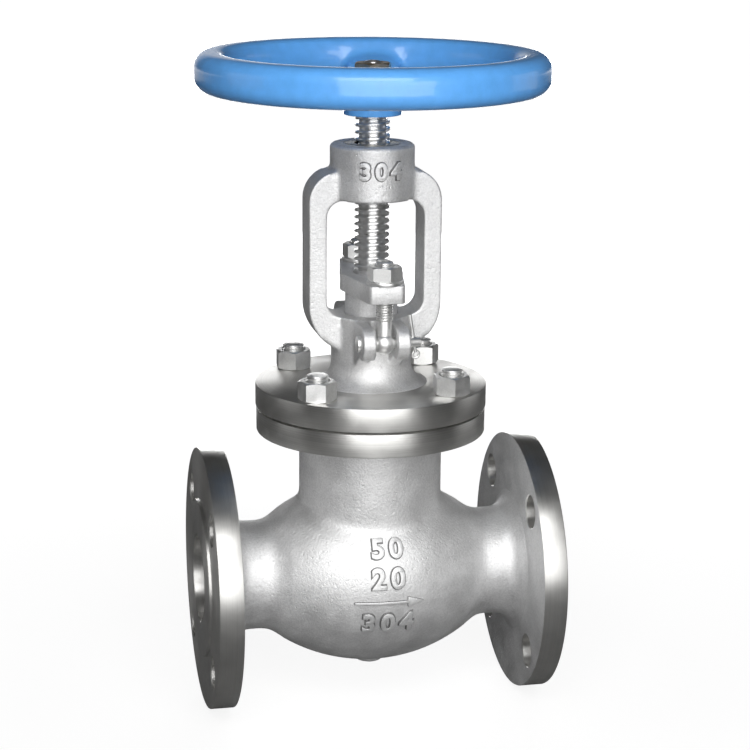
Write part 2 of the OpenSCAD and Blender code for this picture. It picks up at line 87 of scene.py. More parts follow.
class ValveSizes(bpy.types.PropertyGroup):
    """Sizes of the details that the CAD frame leaves to the visual model"""
    casting_grain: bpy.props.FloatProperty(
        name="Casting grain", description="Cell of the remeshed body casting",
        default=1.32 * MM, min=0.8 * MM, max=3 * MM, unit="LENGTH", precision=5)
    yoke_grain: bpy.props.FloatProperty(
        name="Yoke grain", description="Cell of the remeshed yoke",
        default=0.75 * MM, min=0.6 * MM, max=3 * MM, unit="LENGTH", precision=5)
    wheel_grain: bpy.props.FloatProperty(
        name="Wheel grain", description="Cell of the remeshed handwheel",
        default=0.9 * MM, min=0.8 * MM, max=3 * MM, unit="LENGTH", precision=5)
    edge_break: bpy.props.FloatProperty(
        name="Edge break", description="Chamfer on the edges of turned flanges",
        default=0.7 * MM, min=0.1 * MM, max=2 * MM, unit="LENGTH", precision=5)
    stud_pitch: bpy.props.FloatProperty(
        name="Stud pitch", description="Thread pitch of the bonnet studs",
        default=1.95 * MM, min=1 * MM, max=3 * MM, unit="LENGTH", precision=5)
    gland_pitch: bpy.props.FloatProperty(
        name="Gland bolt pitch", description="Thread pitch of the eye bolts",
        default=1.5 * MM, min=0.8 * MM, max=2.5 * MM, unit="LENGTH", precision=5)
    stem_lead: bpy.props.FloatProperty(
        name="Stem lead", description="Rise of the stem for one turn of the handwheel",
        default=4 * MM, min=2 * MM, max=6 * MM, unit="LENGTH", precision=5)
    figure_height: bpy.props.FloatProperty(
        name="Figure height", description="Height of the raised figures on the globe",
        default=11.5 * MM, min=4 * MM, max=16 * MM, unit="LENGTH", precision=5)
    figure_raise: bpy.props.FloatProperty(
        name="Figure raise", description="How far the cast figures stand out",
        default=1.35 * MM, min=0.3 * MM, max=2 * MM, unit="LENGTH", precision=5)


def colour(name, description, value):
    return bpy.props.FloatVectorProperty(
        name=name, description=description, subtype="COLOR", size=3, min=0, max=1, default=value)


class ValveColours(bpy.types.PropertyGroup):
    """Base colours of the finishes"""
    cast: colour("Cast steel", "Blasted stainless casting", (0.87, 0.87, 0.87))
    turned: colour("Turned steel", "Turned flange faces and rims", (0.71, 0.705, 0.685))
    bright: colour("Bright steel", "Stem, studs, pins and nuts", (0.92, 0.92, 0.91))
    # The wheel nut colour is plain steel with a painted warm reflection in it
    warm_reflection: colour("Wheel nut steel", "Wheel nut with a painted warm reflection", (0.66, 0.54, 0.38))
    bronze: colour("Stem nut alloy", "Stem nut and bushes", (0.50, 0.48, 0.43))
    graphite: colour("Graphite", "Gasket and packing", (0.035, 0.035, 0.038))
    paint: colour("Wheel paint", "Gloss enamel of the handwheel", (0.125, 0.43, 0.95))
    floor: colour("Floor", "Studio floor", (0.18, 0.18, 0.18))


# Mesh helpers

def outline_bm(points, centre, axis):
    """A chain of vertices from (radius, height) pairs, ready to be spun."""
    bm = bmesh.new()
    side = Vector((0, 1, 0)) if axis == X_AXIS else Vector((1, 0, 0))
    verts = [bm.verts.new(centre + side * r + axis * h) for r, h in points]
    edges = [bm.edges.new(pair) for pair in zip(verts, verts[1:])]
    return bm, verts, edges


def lathe(points, centre=FOOT, axis=Z_AXIS, steps=96, loop=True):
    """Spin an outline in metres about an axis. A loop closes on itself, a chain ends on the axis."""
    bm, verts, edges = outline_bm(points, centre, axis)
    if loop:
        edges.append(bm.edges.new((verts[-1], verts[0])))
    bmesh.ops.spin(bm, geom=verts + edges, cent=centre, axis=axis, angle=2 * math.pi, steps=steps,
                   use_merge=True, dvec=(0, 0, 0))
    bmesh.ops.remove_doubles(bm, verts=bm.verts, dist=MERGE)
    bmesh.ops.recalc_face_normals(bm, faces=bm.faces)
    return bm


# Thread profiles as pairs: share of the pitch, share of the depth
BOLT_FLANKS = ((0, 0), (0.34, 1), (0.5, 1), (0.84, 0), (1, 0))
STEM_RISE = ((0, 0), (0.13, 0.02), (0.19, 0.12), (0.27, 0.72), (0.33, 0.92), (0.4, 0.985))
STEM_FLANKS = STEM_RISE + ((0.5, 1),) + tuple((1 - u, k) for u, k in reversed(STEM_RISE))


def screw(crest, root, pitch, start, end, centre=FOOT, steps=32, flanks=BOLT_FLANKS, run_in=1):
    """A right-hand thread between two heights, cut flat at both ends and closed."""
    foot = start - run_in * pitch
    turns = int(math.ceil((end - foot) / pitch)) + 1
    chain = [(root + (crest - root) * k, foot + pitch * u) for u, k in flanks]
    bm, verts, edges = outline_bm(chain, centre, Z_AXIS)
    bmesh.ops.spin(bm, geom=verts + edges, cent=centre, axis=Z_AXIS, angle=2 * math.pi * turns,
                   steps=steps * turns, dvec=(0, 0, pitch / steps), use_merge=False)
    bmesh.ops.remove_doubles(bm, verts=bm.verts, dist=MERGE)
    bmesh.ops.recalc_face_normals(bm, faces=bm.faces)
    slice_off(bm, centre + Z_AXIS * start, -Z_AXIS)
    slice_off(bm, centre + Z_AXIS * end, Z_AXIS)
    return bm


def slice_off(bm, point, normal):
    """Cut away what lies on the normal's side of a plane and close the cut."""
    geom = bm.verts[:] + bm.edges[:] + bm.faces[:]
    cut = bmesh.ops.bisect_plane(bm, geom=geom, dist=1e-7, plane_co=point, plane_no=normal,
                                 clear_outer=True)
    rim = [e for e in cut["geom_cut"] if isinstance(e, bmesh.types.BMEdge) and e.is_boundary]
    bmesh.ops.triangle_fill(bm, use_beauty=True, edges=rim, normal=normal)


def soften(bm, width, angle=35, segments=2):
    """Round every edge that turns by more than the angle."""
    turn = math.radians(angle)
    edges = [e for e in bm.edges if len(e.link_faces) == 2 and e.calc_face_angle(0) > turn]
    bmesh.ops.bevel(bm, geom=edges, offset=width, offset_type="OFFSET", segments=segments, profile=0.5,
                    affect="EDGES", clamp_overlap=True, material=-1)
    return bm


def joined(*shapes):
    """One bmesh that holds several, which are freed."""
    whole = bmesh.new()
    for bm in shapes:
        mesh = bpy.data.meshes.new("part")
        bm.to_mesh(mesh)
        bm.free()
        whole.from_mesh(mesh)
        bpy.data.meshes.remove(mesh)
    return whole


def scratch(bm):
    """A temporary object that holds a bmesh, which is freed."""
    mesh = bpy.data.meshes.new("scratch")
    bm.to_mesh(mesh)
    bm.free()
    obj = bpy.data.objects.new("scratch", mesh)
    bpy.context.scene.collection.objects.link(obj)
    return obj


def settle(*objects):
    """The first object's mesh with its modifiers applied. All of them are removed."""
    graph = bpy.context.evaluated_depsgraph_get()
    mesh = bpy.data.meshes.new_from_object(objects[0].evaluated_get(graph))
    bm = bmesh.new()
    bm.from_mesh(mesh)
    bpy.data.meshes.remove(mesh)
    for obj in objects:
        data = obj.data
        bpy.data.objects.remove(obj)
        bpy.data.meshes.remove(data)
    return bm


def carved(bm, cutter, operation="DIFFERENCE"):
    """A bmesh after a Boolean with another one."""
    base = scratch(bm)
    tool = scratch(cutter)
    cut = base.modifiers.new("cut", "BOOLEAN")
    cut.operation = operation
    cut.solver = "EXACT"
    cut.object = tool
    return settle(base, tool)


def remeshed(bm, cell):
    """A bmesh fused into one even skin."""
    base = scratch(bm)
    skin = base.modifiers.new("skin", "REMESH")
    skin.mode = "VOXEL"
    skin.voxel_size = cell
    skin.adaptivity = 0
    return settle(base)


def smoothed(bm, rounds, where=None):
    """Relax the vertices that a test picks, or all of them."""
    verts = [v for v in bm.verts if where is None or where(v.co - FOOT)]
    for _ in range(rounds):
        bmesh.ops.smooth_vert(bm, verts=verts, factor=0.5,
                              use_axis_x=True, use_axis_y=True, use_axis_z=True)
    return bm


def cad_copy(node):
    """A copy of a CAD node's mesh with its loose triangles merged."""
    bm = bmesh.new()
    bm.from_mesh(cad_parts[node].data)
    bmesh.ops.remove_doubles(bm, verts=bm.verts, dist=2e-6)
    return bm


def tidy_copy(node, edge, angle=35):
    """A CAD node's copy with clean faces and broken edges."""
    bm = cad_copy(node)
    bmesh.ops.dissolve_limit(bm, angle_limit=math.radians(1.5), verts=bm.verts, edges=bm.edges)
    if edge:
        soften(bm, edge, angle)
    return bm


def rod(radius, start, end, place, axis=Z_AXIS, steps=48):
    """A plain round bar between two heights."""
    return lathe([(0, start), (radius, start), (radius, end), (0, end)], place, axis, steps, loop=False)


def nut(across, height, bore, place, turn):
    """A hexagon nut, chamfered at both ends, with a countersunk bore."""
    corner = across / math.sqrt(3)
    flat = across * 0.485
    drop = (corner - flat) * math.tan(math.radians(28))
    bm = bmesh.new()
    bmesh.ops.create_cone(bm, cap_ends=True, segments=6, radius1=corner, radius2=corner, depth=height)
    bmesh.ops.transform(bm, verts=bm.verts, matrix=Matrix.Translation(place + Z_AXIS * height / 2)
                        @ Matrix.Rotation(turn - math.pi / 2, 4, "Z"))
    wide = corner + 0.2 * MM
    slope = drop * (wide - flat) / (corner - flat)
    bell = lathe([(0, 0), (flat, 0), (wide, slope), (wide, height - slope), (flat, height), (0, height)],
                 place, steps=72, loop=False)
    bm = carved(bm, bell, "INTERSECT")
    sink = bore * 0.16
    hole = lathe([(0, -MM), (bore + sink + MM, -MM), (bore, sink), (bore, height - sink),
                  (bore + sink + MM, height + MM), (0, height + MM)], place, steps=48, loop=False)
    return carved(bm, hole)


def add_piece(name, bm, finish, body, nodes=(), sharp=30, other=None):
    """Link a finished bmesh as a piece that rides on a body and stands for CAD nodes."""
    mesh = bpy.data.meshes.new(name)
    mesh.materials.append(finish)
    if other:
        mesh.materials.append(other)
    bm.to_mesh(mesh)
    bm.free()
    mesh.shade_smooth()
    mesh.set_sharp_from_angle(angle=math.radians(sharp))
    piece = bpy.data.objects.new(name, mesh)
    bpy.context.scene.collection.objects.link(piece)
    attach(piece, body)
    if nodes:
        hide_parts(*nodes)
    return piece


# Finishes, whose noise scales are in waves per metre

RANGE_KEYS = ("From Min", "From Max", "To Min", "To Max")


class NodeWork:
    """Adds nodes to one tree and links them."""

    def __init__(self, tree):
        self.tree = tree

    def node(self, kind, **settings):
        made = self.tree.nodes.new(kind)
        for key, value in settings.items():
            setattr(made, key, value)
        return made

    def link(self, a, b):
        self.tree.links.new(a, b)

    def span(self, source, low_in, high_in, low_out, high_out):
        """A value carried from one range to another."""
        made = self.node("ShaderNodeMapRange")
        for key, value in zip(RANGE_KEYS, (low_in, high_in, low_out, high_out)):
            made.inputs[key].default_value = value
        self.link(source, made.inputs["Value"])
        return made.outputs["Result"]

    def combine(self, a, b, operation="ADD"):
        made = self.node("ShaderNodeMath", operation=operation)
        self.link(a, made.inputs[0])
        self.link(b, made.inputs[1])
        return made.outputs["Value"]


class Finish(NodeWork):
    """A node material on Object coordinates, built a node at a time."""

    def __init__(self, name):
        self.material = bpy.data.materials.new(name)
        self.material.use_nodes = True
        super().__init__(self.material.node_tree)
        self.shader = self.tree.nodes["Principled BSDF"]
        self.place = self.node("ShaderNodeTexCoord").outputs["Object"]

    def noise(self, scale, detail, roughness=0.55, source=None):
        made = self.node("ShaderNodeTexNoise")
        made.inputs["Scale"].default_value = scale
        made.inputs["Detail"].default_value = detail
        made.inputs["Roughness"].default_value = roughness
        self.link(source or self.place, made.inputs["Vector"])
        return made.outputs["Fac"]

    def part(self, source, low_out, high_out):
        """The usual range of a noise, carried to another range."""
        return self.span(source, 0.3, 0.7, low_out, high_out)

    def tone(self, source, dark, light):
        """Base colour that runs between two shades."""
        made = self.node("ShaderNodeMix", data_type="RGBA")
        made.inputs["A"].default_value = (*dark, 1)
        made.inputs["B"].default_value = (*light, 1)
        self.link(source, made.inputs["Factor"])
        self.link(made.outputs["Result"], self.shader.inputs["Base Color"])

    def rough(self, source):
        self.link(source, self.shader.inputs["Roughness"])

    def bump(self, height, strength, distance):
        made = self.node("ShaderNodeBump")
        made.inputs["Strength"].default_value = strength
        made.inputs["Distance"].default_value = distance
        self.link(height, made.inputs["Height"])
        self.link(made.outputs["Normal"], self.shader.inputs["Normal"])

    def lathe_place(self, centre, axis):
        """Coordinates that change along the radius and the axis but not round it."""
        shift = self.node("ShaderNodeVectorMath", operation="SUBTRACT")
        self.link(self.place, shift.inputs[0])
        shift.inputs[1].default_value = centre
        flat = self.node("ShaderNodeVectorMath", operation="MULTIPLY")
        self.link(shift.outputs["Vector"], flat.inputs[0])
        flat.inputs[1].default_value = Vector((1, 1, 1)) - axis
        radius = self.node("ShaderNodeVectorMath", operation="LENGTH")
        self.link(flat.outputs["Vector"], radius.inputs[0])
        along = self.node("ShaderNodeVectorMath", operation="DOT_PRODUCT")
        self.link(shift.outputs["Vector"], along.inputs[0])
        along.inputs[1].default_value = axis
        joint = self.node("ShaderNodeCombineXYZ")
        self.link(radius.outputs["Value"], joint.inputs["X"])
        self.link(along.outputs["Value"], joint.inputs["Y"])
        return joint.outputs["Vector"]


def shade(value, factor):
    return tuple(min(1.0, c * factor) for c in value)


def blasted_casting(name, base):
    """Sand-cast stainless steel, shot blasted: fine grit, faint clouds and pits."""
    f = Finish(name)
    f.shader.inputs["Metallic"].default_value = 0.9
    f.shader.inputs["Specular Tint"].default_value = (0.25, 0.25, 0.25, 1)
    grit = f.noise(900, 5, 0.66)
    cloud = f.noise(70, 3)
    mixed = f.combine(f.part(grit, 0, 0.6), f.part(cloud, 0, 0.4))
    f.tone(mixed, shade(base, 0.8), shade(base, 1.12))
    f.rough(f.part(cloud, 0.52, 0.64))
    pits = f.span(f.noise(420, 2), 0.62, 0.74, 0, -0.6)
    peel = f.part(f.noise(600, 2), 0, 0.35)
    f.bump(f.combine(f.combine(grit, pits), peel), 0.6, 0.3 * MM)
    return f.material


def turned_metal(name, base, centre, axis, rough=0.4, lines=1500):
    """Turned metal: fine rings round the axis, with a little uneven wear."""
    f = Finish(name)
    f.shader.inputs["Metallic"].default_value = 1
    f.shader.inputs["Anisotropic"].default_value = 0.7
    f.shader.inputs["Anisotropic Rotation"].default_value = 0.25
    letter = "X" if axis == X_AXIS else "Z"
    round_axis = f.node("ShaderNodeTangent", direction_type="RADIAL", axis=letter)
    f.link(round_axis.outputs["Tangent"], f.shader.inputs["Tangent"])
    rings = f.noise(lines, 3, 0.65, f.lathe_place(centre, axis))
    wear = f.noise(55, 4)
    mixed = f.combine(f.span(rings, 0.25, 0.75, 0, 0.6), f.part(wear, 0, 0.4))
    f.tone(mixed, shade(base, 0.74), shade(base, 1.12))
    f.rough(f.combine(f.span(rings, 0.25, 0.75, rough - 0.08, rough + 0.1), f.part(wear, -0.04, 0.06)))
    f.bump(rings, 0.3, 0.04 * MM)
    return f.material


def polished_metal(name, base, rough):
    """Bright machined steel with faint handling marks."""
    f = Finish(name)
    f.shader.inputs["Metallic"].default_value = 1
    fine = f.noise(900, 3)
    wear = f.noise(120, 4)
    mixed = f.combine(f.part(fine, 0, 0.4), f.part(wear, 0, 0.6))
    f.tone(mixed, shade(base, 0.85), shade(base, 1.08))
    f.rough(f.combine(f.part(wear, rough - 0.05, rough + 0.08), f.part(fine, -0.02, 0.03)))
    f.bump(fine, 0.12, 0.03 * MM)
    return f.material


def enamel(name, base):
    """Gloss enamel over a casting: soft waves under a clear gloss."""
    f = Finish(name)
    f.shader.inputs["Coat Weight"].default_value = 0.6
    f.shader.inputs["Coat Roughness"].default_value = 0.08
    wave = f.noise(160, 2, 0.45)
    speck = f.noise(1400, 2)
    mixed = f.combine(f.part(wave, 0, 0.7), f.part(speck, 0, 0.3))
    f.tone(mixed, shade(base, 0.93), shade(base, 1.06))
    f.rough(f.part(wave, 0.3, 0.4))
    f.bump(f.combine(wave, f.span(speck, 0, 1, 0, 0.12)), 0.22, 0.25 * MM)
    return f.material


def packing_fibre(name, base):
    """Dull graphite sheet and packing."""
    f = Finish(name)
    grain = f.noise(700, 4)
    f.tone(f.part(grain, 0, 1), shade(base, 0.6), shade(base, 1.7))
    f.rough(f.part(grain, 0.6, 0.85))
    f.bump(grain, 0.5, 0.15 * MM)
    return f.material


FINISHES = {}


def finish(name):
    """The material of a finish, made at its first use from the scene's colours."""
    if name in FINISHES:
        return FINISHES[name]
    tint = bpy.context.scene.valve_colours
    makers = {
        "cast": lambda: blasted_casting("blasted_casting", tint.cast),
        # A darker copy of the casting: painted shade for the sides and roots of the raised figures
        "painted_shade": lambda: blasted_casting("figure_painted_shade", shade(tint.cast, 0.38)),
        "inlet_turned": lambda: turned_metal("flange_turned", tint.turned, Vector((0, 0, 0)), X_AXIS),
        "bonnet_turned": lambda: turned_metal("bonnet_turned", tint.turned, FOOT, Z_AXIS),
        "stem": lambda: turned_metal("stem_polished", tint.bright, FOOT, Z_AXIS, 0.32, 600),
        "bright": lambda: polished_metal("bright_steel", tint.bright, 0.4),
        # Steel whose warm tint is a painted reflection
        "warm_reflection": lambda: polished_metal("steel_with_painted_warm_reflection", tint.warm_reflection, 0.32),
        "bronze": lambda: turned_metal("stem_nut_alloy", tint.bronze, FOOT, Z_AXIS, 0.5, 1800),
        "graphite": lambda: packing_fibre("graphite_sheet", tint.graphite),
        "paint": lambda: enamel("wheel_enamel", tint.paint),
    }
    FINISHES[name] = makers[name]()
    return FINISHES[name]


# Body, with the radii and heights of its CAD sections

ARC_R = 97.5 * MM
GLOBE_R = high("valve_body", 1)
FLANGE_T = high("inlet_end_flange", 0)
BODY_TOP = low("body_top_flange", 2)
NECK_R = 41.4 * MM
NECK_BORE_R = 34 * MM
PORT_BORE_R = 25.5 * MM
PORT_WALL_R = 28.6 * MM
PORT_R = 31.7 * MM
ROOT_COVE = 11 * MM
BOSS_R = 8.4 * MM
BOSS_H = 3.3 * MM
FACE_R = 46 * MM
FACE_H = 2 * MM
END_BOLT_MM = 60.35
END_HOLE_R = 9.5 * MM
HUB_R = 24 * MM
# A remeshed end runs on by the first length and is sliced off at the second, inside the next piece
OVERRUN = 3 * MM
LAP = 0.3 * MM


def globe_radius(x):
    """Outside radius of the globe at a distance from the stem axis."""
    return GLOBE_R - ARC_R + math.sqrt(max(ARC_R ** 2 - x ** 2, 0))


def in_neck_root(p):
    reach = 6.5 * MM
    gap = abs(math.hypot(p.x, p.y) - NECK_R)
    skin = abs(math.hypot(p.y, p.z) - globe_radius(p.x))
    return p.z > 15 * MM and max(gap, skin) < reach


def in_port_root(p):
    middle, reach = 62 * MM, 9 * MM
    return abs(abs(p.x) - middle) < reach and math.hypot(p.y, p.z) > PORT_WALL_R


class VALVE_OT_body_casting(bpy.types.Operator):
    """Cast the globe, its port necks and the neck under the bonnet as one soft-edged skin"""
    bl_idname = "valve.body_casting"
    bl_label = "Body casting"

    def execute(self, context):
        sizes = context.scene.valve_sizes
        bm = cad_copy("valve_body")
        reach = STEM_X - FLANGE_T
        for side in (-1, 1):
            ends = [v for v in bm.verts if side * (v.co.x - STEM_X) > reach - 0.1 * MM]
            bmesh.ops.translate(bm, verts=ends, vec=X_AXIS * side * OVERRUN)
        foot, top = 44 * MM, BODY_TOP + OVERRUN
        neck = lathe([(NECK_BORE_R, foot), (NECK_R, foot), (NECK_R, top), (NECK_BORE_R, top)])
        roots = [self.port_root(side, reach) for side in (-1, 1)]
        boss = soften(rod(BOSS_R, -GLOBE_R - BOSS_H, -GLOBE_R / 2, FOOT), MM)
        bm = remeshed(joined(bm, neck, boss, *roots), sizes.casting_grain)
        smoothed(bm, 3)
        smoothed(bm, 20, in_neck_root)
        smoothed(bm, 40, in_port_root)
        for side in (-1, 1):
            slice_off(bm, FOOT + X_AXIS * side * (reach + LAP), X_AXIS * side)
        slice_off(bm, FOOT + Z_AXIS * (BODY_TOP + LAP), Z_AXIS)
        add_piece("body_casting", bm, finish("cast"), "valve", ("valve_body", "body_neck"),
                  sharp=60)
        return {"FINISHED"}

    def port_root(self, side, reach):
        """The cove where a port neck swells into its flange."""
        cove = ROOT_COVE
        start = reach - cove
        points = [(PORT_WALL_R, start - 2 * MM), (PORT_R - LAP, start - 2 * MM)]
        for degrees in range(0, 91, 15):
            a = math.radians(degrees)
            points.append((PORT_R + cove * (1 - math.cos(a)), start + cove * math.sin(a)))
        points += [(PORT_R + cove, reach + OVERRUN), (PORT_WALL_R, reach + OVERRUN)]
        return lathe([(r, side * h) for r, h in points], FOOT, X_AXIS)


class VALVE_OT_end_flanges(bpy.types.Operator):
    """Turn the two end flanges with their raised faces and bolt holes"""
    bl_idname = "valve.end_flanges"
    bl_label = "End flanges"

    def execute(self, context):
        edge = context.scene.valve_sizes.edge_break
        rim = high("inlet_end_flange", 1)
        plate = [(PORT_BORE_R, 0), (FACE_R, 0), (FACE_R, FACE_H), (rim, FACE_H), (rim, FLANGE_T),
                 (PORT_BORE_R, FLANGE_T)]
        for node, x, way in (("inlet_end_flange", 0, 1), ("outlet_end_flange", 2 * STEM_X, -1)):
            face = Vector((x, 0, 0))
            bm = soften(lathe([(r, h * way) for r, h in plate], face, X_AXIS, 144), edge)
            drills = []
            for turn in QUARTERS:
                angle = math.radians(turn)
                spot = face + Vector((0, math.cos(angle), math.sin(angle))) * END_BOLT_MM * MM
                drills.append(self.drill(spot, way))
            bm = carved(bm, joined(*drills))
            for f in bm.faces:
                f.material_index = int(f.normal.x * way > 0.9)
            add_piece(node + "_turned", bm, finish("inlet_turned"), "valve", (node,),
                      other=finish("cast"))
        return {"FINISHED"}

    def drill(self, spot, way):
        """The cutter of a bolt hole along X, a little wider at both ends."""
        sink = 0.6 * MM
        wide = END_HOLE_R + sink
        points = [(0, -MM), (wide + MM, -MM), (wide, FACE_H), (END_HOLE_R, FACE_H + sink),
                  (END_HOLE_R, FLANGE_T - sink), (wide, FLANGE_T), (wide + MM, FLANGE_T + MM),
                  (0, FLANGE_T + MM)]
        return lathe([(r, h * way) for r, h in points], spot, X_AXIS, 48, loop=False)


# Height of a digit as a share of the font's size
DIGIT_SHARE = 0.7


class VALVE_OT_raised_figures(bpy.types.Operator):
    """Raise plain figures and a flow arrow on the front of the globe"""
    bl_idname = "valve.raised_figures"
    bl_label = "Raised figures"

    def execute(self, context):
        sizes = context.scene.valve_sizes
        tall = sizes.figure_height
        stand = sizes.figure_raise
        shapes = []
        for text, level, height in (("50", 26.5, 0.95 * tall), ("20", 10.4, tall), ("304", -16, tall)):
            shapes.append(self.on_globe(self.figures(text, height, stand), level * MM))
        shapes.append(self.on_globe(self.arrow(stand), -3 * MM))
        hub_level = 238.4 * MM
        hub = self.figures("304", 9 * MM, stand)
        for v in hub.verts:
            turn = v.co.x / HUB_R
            out = HUB_R + v.co.z
            v.co = FOOT + Vector((out * math.sin(turn), -out * math.cos(turn), hub_level + v.co.y))
        bmesh.ops.recalc_face_normals(hub, faces=hub.faces)
        body = joined(*shapes)
        for name, bm, node in (("body_figures", body, "valve_body"), ("hub_figures", hub, "bonnet")):
            # The second finish is painted shade on the figures' upright sides and roots
            add_piece(name, bm, finish("cast"), "valve", (node,), 50, finish("painted_shade"))
        return {"FINISHED"}

    def figures(self, text, height, stand):
        """Figures in the XY plane with painted shade on their upright sides and in a dark rim round each
        root, centred, standing along Z.
        """
        face = self.relief(text, height, stand, 0.4 * MM)
        self.paint_side_shade(face)
        # A low, wider copy under each figure, all in the painted-shade finish, is a painted shade round its
        # root
        root = self.relief(text, height, 0.1 * MM, 0.85 * MM)
        for f in root.faces:
            f.material_index = 1
        return joined(face, root)

    def relief(self, text, height, stand, bold):
        curve = bpy.data.curves.new("figures", "FONT")
        curve.body = text
        curve.size = height / DIGIT_SHARE
        curve.align_x = "CENTER"
        curve.align_y = "CENTER"
        curve.extrude = stand
        curve.offset = bold
        curve.bevel_depth = 0.3 * MM
        curve.bevel_resolution = 1
        curve.space_character = 1.35
        curve.resolution_u = 6
        obj = bpy.data.objects.new("figures", curve)
        bpy.context.scene.collection.objects.link(obj)
        graph = bpy.context.evaluated_depsgraph_get()
        mesh = bpy.data.meshes.new_from_object(obj.evaluated_get(graph))
        bm = bmesh.new()
        bm.from_mesh(mesh)
        bpy.data.objects.remove(obj)
        bpy.data.curves.remove(curve)
        bpy.data.meshes.remove(mesh)
        bmesh.ops.remove_doubles(bm, verts=bm.verts, dist=1e-7)
        return bm

    def paint_side_shade(self, bm):
        """Paint shade on the upright sides of a flat relief by giving them the darker second finish."""
        bm.normal_update()
        for f in bm.faces:
            f.material_index = int(abs(f.normal.z) < 0.5)

    def arrow(self, stand):
        """A flow arrow in the XY plane that points to the outlet."""
        shaft = bmesh.new()
        bmesh.ops.create_cube(shaft, size=1)
        bmesh.ops.scale(shaft, vec=(32 * MM, 1.9 * MM, 2 * stand), verts=shaft.verts)
        bmesh.ops.translate(shaft, verts=shaft.verts, vec=(-3.5 * MM, 0, 0))
        along = [e for e in shaft.edges if e.calc_length() > 20 * MM]
        bmesh.ops.subdivide_edges(shaft, edges=along, cuts=10, use_grid_fill=True)
        head = bmesh.new()
        reach = 5.2 * MM
        bmesh.ops.create_cone(head, cap_ends=True, segments=3, radius1=reach, radius2=reach, depth=2 * stand)
        bmesh.ops.rotate(head, verts=head.verts, matrix=Matrix.Rotation(-math.pi / 2, 3, "Z"))
        bmesh.ops.scale(head, vec=(1.25, 0.72, 1), verts=head.verts)
        bmesh.ops.translate(head, verts=head.verts, vec=(14.5 * MM, 0, 0))
        # The arrow's upright sides get the painted shade as well
        for bm in (shaft, head):
            soften(bm, 0.35 * MM, 50)
            self.paint_side_shade(bm)
        return joined(shaft, head)

    def on_globe(self, bm, level):
        """Lay a flat relief on the front of the globe."""
        for v in bm.verts:
            turn = math.asin(level / GLOBE_R) + v.co.y / GLOBE_R
            out = globe_radius(v.co.x) + v.co.z
            v.co = FOOT + Vector((v.co.x, -out * math.cos(turn), out * math.sin(turn)))
        bmesh.ops.recalc_face_normals(bm, faces=bm.faces)
        return bm


class VALVE_OT_top_flange(bpy.types.Operator):
    """Turn the flange at the top of the body and lay the gasket on it"""
    bl_idname = "valve.top_flange"
    bl_label = "Body top flange"

    def execute(self, context):
        edge = context.scene.valve_sizes.edge_break
        rim = high("body_top_flange", 1)
        top = high("body_top_flange", 2)
        plate = [(NECK_BORE_R, BODY_TOP), (rim, BODY_TOP), (rim, top), (NECK_BORE_R, top)]
        bm = soften(lathe(plate, steps=144), edge)
        add_piece("body_top_flange_turned", bm, finish("bonnet_turned"), "valve",
                  ("body_top_flange",))
        sheet = tidy_copy("bonnet_gasket", 0)
        add_piece("gasket_sheet", sheet, finish("graphite"), "valve", ("bonnet_gasket",))
        return {"FINISHED"}


# Bonnet

FLANGE_LOW = high("bonnet_gasket", 2)
NUT_LOW = low("bonnet_nuts", 2)
DECK = 154.5 * MM
HUB_LOW = low("stem_nut", 2)
STUD_CIRCLE_MM = 54.5
STUD_R = 6.3 * MM
BONNET_BORE_R = 16.2 * MM
SPIGOT_R = 33.6 * MM


def in_hub_root(p):
    ring = abs(math.hypot(p.x, p.y) - HUB_R)
    return ring < 5 * MM and abs(p.y) < 16 * MM and HUB_LOW < p.z < HUB_LOW + 20 * MM


def in_ear_root(p):
    ring = abs(math.hypot(p.x, p.y) - 23 * MM)
    return ring < 4 * MM and abs(p.x) < 17 * MM and 122 * MM < p.z < DECK - MM


def in_shoulder(p):
    return 128 * MM < p.z < 150 * MM and 19 * MM < abs(p.x) < 31 * MM and abs(p.y) < 15 * MM


class VALVE_OT_yoke_casting(bpy.types.Operator):
    """Cast the bonnet neck, the yoke arms, the hub and the ears as one soft-edged skin"""
    bl_idname = "valve.yoke_casting"
    bl_label = "Yoke casting"

    def execute(self, context):
        bm = remeshed(cad_copy("bonnet"), context.scene.valve_sizes.yoke_grain)
        cut = NUT_LOW + 0.25 * MM
        slice_off(bm, FOOT + Z_AXIS * cut, -Z_AXIS)
        foot = [v for v in bm.verts if v.co.z < cut + 0.01 * MM]
        bmesh.ops.translate(bm, verts=foot, vec=Z_AXIS * -0.6 * MM)
        smoothed(bm, 2, lambda p: p.z > NUT_LOW + 1.2 * MM)
        smoothed(bm, 26, in_hub_root)
        smoothed(bm, 7, in_ear_root)
        smoothed(bm, 25, in_shoulder)
        add_piece("yoke_casting", bm, finish("cast"), "valve", ("bonnet",), 60)
        return {"FINISHED"}


class VALVE_OT_bonnet_flange(bpy.types.Operator):
    """Turn the bonnet flange with its spigot"""
    bl_idname = "valve.bonnet_flange"
    bl_label = "Bonnet flange"

    def execute(self, context):
        edge = context.scene.valve_sizes.edge_break
        rim = high("bonnet", 1)
        spigot = low("bonnet", 2)
        plate = [(BONNET_BORE_R, spigot), (SPIGOT_R, spigot), (SPIGOT_R, FLANGE_LOW), (rim, FLANGE_LOW),
                 (rim, NUT_LOW), (BONNET_BORE_R, NUT_LOW)]
        bm = soften(lathe(plate, steps=144), edge)
        add_piece("bonnet_flange_turned", bm, finish("bonnet_turned"), "valve", ("bonnet",))
        return {"FINISHED"}


